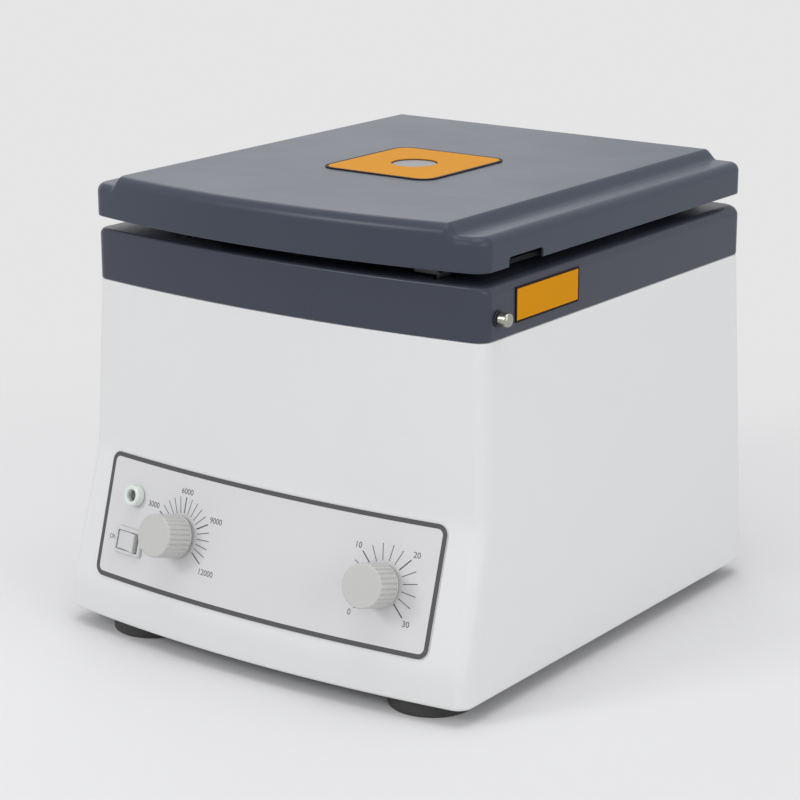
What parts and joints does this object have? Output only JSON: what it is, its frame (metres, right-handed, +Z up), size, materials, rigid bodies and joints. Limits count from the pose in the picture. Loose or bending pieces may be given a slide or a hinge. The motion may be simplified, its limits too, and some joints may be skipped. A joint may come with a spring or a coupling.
{
  "type": "hematocrit centrifuge",
  "caption": "Bench hematocrit centrifuge: flared moulded case with speed and timer knobs, dark collar and hinged lid over a capillary rotor in a steel bowl.",
  "frame": {"origin": "on the bench, in the case's middle plane and halfway between its foremost and rearmost points", "axes": "+Z up, +X to the right seen from the front, -Y towards the user"},
  "size_m": [0.2802, 0.3338, 0.2632],
  "materials": {
    "case_plastic": "fine-grained moulded plastic, satin",
    "collar_plastic": "fine-grained moulded plastic, satin",
    "lid_plastic": "fine-grained moulded plastic, satin",
    "panel_film": "matt printed film",
    "amber_film": "printed film, satin",
    "knob_plastic": "moulded plastic, satin",
    "switch_plastic": "moulded plastic, satin",
    "bezel_plastic": "moulded plastic, gloss",
    "clear_plastic": "clear, polished",
    "black_plastic": "moulded plastic, satin",
    "foot_rubber": "matt rubber",
    "seal_rubber": "matt rubber",
    "stainless_steel": "spun and brushed",
    "zinc_steel": "zinc plated",
    "chrome": "polished chrome plate",
    "cast_aluminium": "turned and anodised",
    "motor_paint": "black stove enamel",
    "winding": "lacquered copper winding",
    "board": "green solder mask"
  },
  "bodies": {
    "case": {"main_housing": "case_plastic", "upper_collar": "collar_plastic", "base_plate": "zinc_steel", "control_board": "board", "side_label": "amber_film", "foot_front_left": "foot_rubber", "foot_front_right": "foot_rubber", "foot_rear_left": "foot_rubber", "foot_rear_right": "foot_rubber", "foot_screw_front_left": "zinc_steel", "foot_screw_front_right": "zinc_steel", "foot_screw_rear_left": "zinc_steel", "foot_screw_rear_right": "zinc_steel", "control_panel": "panel_film", "speed_potentiometer": "black_plastic", "timer_mechanism": "black_plastic", "indicator_bezel": "bezel_plastic", "indicator_lens": "clear_plastic", "switch_bezel": "switch_plastic", "chamber_bowl": "stainless_steel", "bowl_seal": "seal_rubber", "motor_body": "motor_paint", "motor_end_cap": "cast_aluminium", "upper_bearing": "zinc_steel", "lower_bearing": "zinc_steel", "motor_plate": "zinc_steel", "motor_mount_1": "seal_rubber", "motor_mount_2": "seal_rubber", "motor_mount_3": "seal_rubber", "release_bush": "black_plastic", "latch_spring": "zinc_steel", "mains_inlet": "black_plastic", "inlet_contacts": "zinc_steel", "fuse_holder": "black_plastic", "hinge_bracket_left": "zinc_steel", "hinge_bracket_right": "zinc_steel", "hinge_pin_left": "zinc_steel", "hinge_pin_right": "zinc_steel"},
    "lid": {"lid_shell": "lid_plastic", "lid_liner": "black_plastic", "lid_window": "clear_plastic", "lid_label": "amber_film", "latch_tongue": "zinc_steel", "hinge_leaf_left": "zinc_steel", "hinge_leaf_right": "zinc_steel"},
    "rotor": {"motor_shaft": "zinc_steel", "armature": "winding", "rotor_disc": "cast_aluminium", "tube_cushion": "seal_rubber"},
    "rotor_cover": {"rotor_cover": "cast_aluminium"},
    "rotor_nut": {"rotor_nut": "black_plastic"},
    "speed_knob": {"speed_knob": "knob_plastic", "speed_spindle": "zinc_steel"},
    "timer_knob": {"timer_knob": "knob_plastic", "timer_spindle": "zinc_steel"},
    "power_rocker": {"power_rocker": "switch_plastic"},
    "release_pin": {"release_pin": "chrome"},
    "fuse_cap": {"fuse_cap": "black_plastic", "fuse_link": "clear_plastic"}
  },
  "joints": [
    {"name": "lid_hinge", "type": "hinge", "parent": "case", "child": "lid", "pos_m": [0, 0.1566, 0.2344], "axis": [-1, 0, 0], "range_deg": [0, 95]},
    {"name": "rotor_spin", "type": "hinge", "parent": "case", "child": "rotor", "pos_m": [0, 0.0042, 0.19], "axis": [0, 0, 1], "continuous": true},
    {"name": "rotor_cover_lift", "type": "slide", "parent": "rotor", "child": "rotor_cover", "axis": [0, 0, 1], "range_m": [0, 0.012]},
    {"name": "rotor_nut_turn", "type": "hinge", "parent": "rotor_cover", "child": "rotor_nut", "pos_m": [0, 0.0042, 0.2122], "axis": [0, 0, 1], "continuous": true},
    {"name": "speed_knob_turn", "type": "hinge", "parent": "case", "child": "speed_knob", "pos_m": [-0.0559, -0.14363, 0.0673], "axis": [0.0621, 0.9578, -0.2807], "range_deg": [0, 250]},
    {"name": "timer_knob_turn", "type": "hinge", "parent": "case", "child": "timer_knob", "pos_m": [0.0826, -0.14149, 0.0673], "axis": [-0.0915, 0.9558, -0.2794], "range_deg": [0, 270]},
    {"name": "power_rocker_tilt", "type": "hinge", "parent": "case", "child": "power_rocker", "pos_m": [-0.0924, -0.14358, 0.0568], "axis": [0.0296, 0.2773, 0.9603], "range_deg": [0, 22]},
    {"name": "release_pin_pull", "type": "slide", "parent": "case", "child": "release_pin", "axis": [1, 0, 0], "range_m": [0, 0.006], "stiffness_N_per_m": 400, "springref_m": -0.006, "deforming": ["latch_spring"]},
    {"name": "fuse_cap_turn", "type": "hinge", "parent": "case", "child": "fuse_cap", "pos_m": [0.104, 0.1581, 0.05], "axis": [0, 0.9994, 0.035], "range_deg": [0, 90]}
  ]
}
